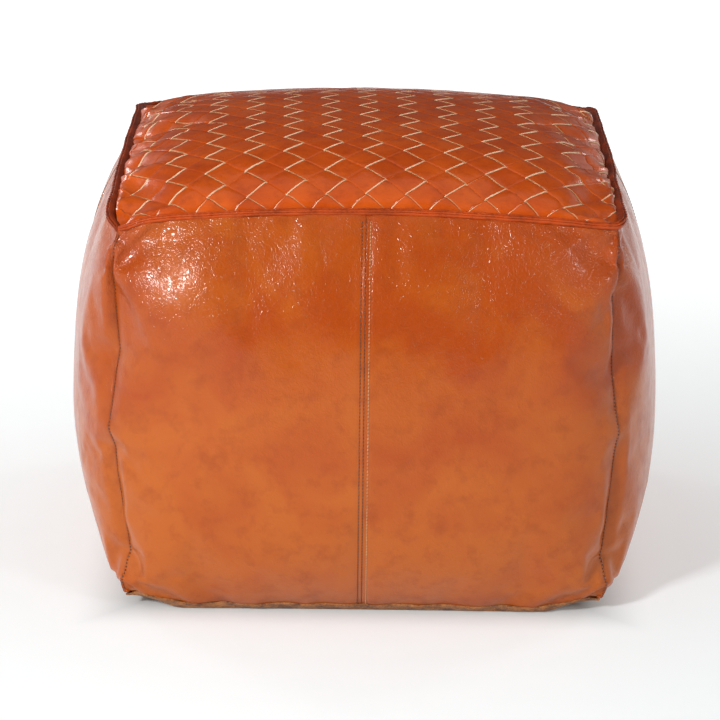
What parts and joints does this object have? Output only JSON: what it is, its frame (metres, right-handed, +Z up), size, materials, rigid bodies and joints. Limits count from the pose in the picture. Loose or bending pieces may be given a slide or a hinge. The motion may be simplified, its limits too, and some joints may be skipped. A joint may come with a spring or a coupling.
{
  "type": "pouf",
  "caption": "Cube-shaped stuffed leather pouf with a woven leather top, folded dark piping, seamed side panels and a zipped suede bottom.",
  "frame": {"origin": "on the floor, under the middle of the pouf", "axes": "+Z up, front side facing -Y, zip along X"},
  "size_m": [0.5562, 0.5562, 0.4235],
  "materials": {
    "tan_leather": "satin",
    "woven_leather": "satin",
    "piping_leather": "satin",
    "suede": "matte",
    "cotton": "matte",
    "wadding": "matte",
    "zip_tape": "matte",
    "zip_nylon": "satin",
    "antique_brass": "satin"
  },
  "bodies": {
    "cover": {"front_left_panel": "tan_leather", "front_right_panel": "tan_leather", "right_front_panel": "tan_leather", "right_back_panel": "tan_leather", "back_right_panel": "tan_leather", "back_left_panel": "tan_leather", "left_back_panel": "tan_leather", "left_front_panel": "tan_leather", "woven_top_panel": "woven_leather", "top_piping": "piping_leather", "top_backing_cloth": "cotton", "crown_pad": "wadding", "bottom_front_panel": "suede", "bottom_back_panel": "suede", "zip_front_tape": "zip_tape", "zip_back_tape": "zip_tape", "zip_front_coil": "zip_nylon", "zip_back_coil": "zip_nylon", "zip_front_top_stop": "antique_brass", "zip_back_top_stop": "antique_brass", "zip_bottom_stop": "antique_brass", "inner_bag": "cotton", "filling": "wadding"},
    "slider": {"zip_slider": "antique_brass"},
    "pull_tab": {"zip_pull_tab": "antique_brass"}
  },
  "joints": [
    {"name": "zip_slide", "type": "slide", "parent": "cover", "child": "slider", "axis": [-1, 0, 0], "range_m": [0, 0.33]},
    {"name": "pull_tab_swing", "type": "hinge", "parent": "slider", "child": "pull_tab", "pos_m": [0.166, 0, 0.0023], "axis": [0, -1, 0], "range_deg": [0, 170]}
  ]
}
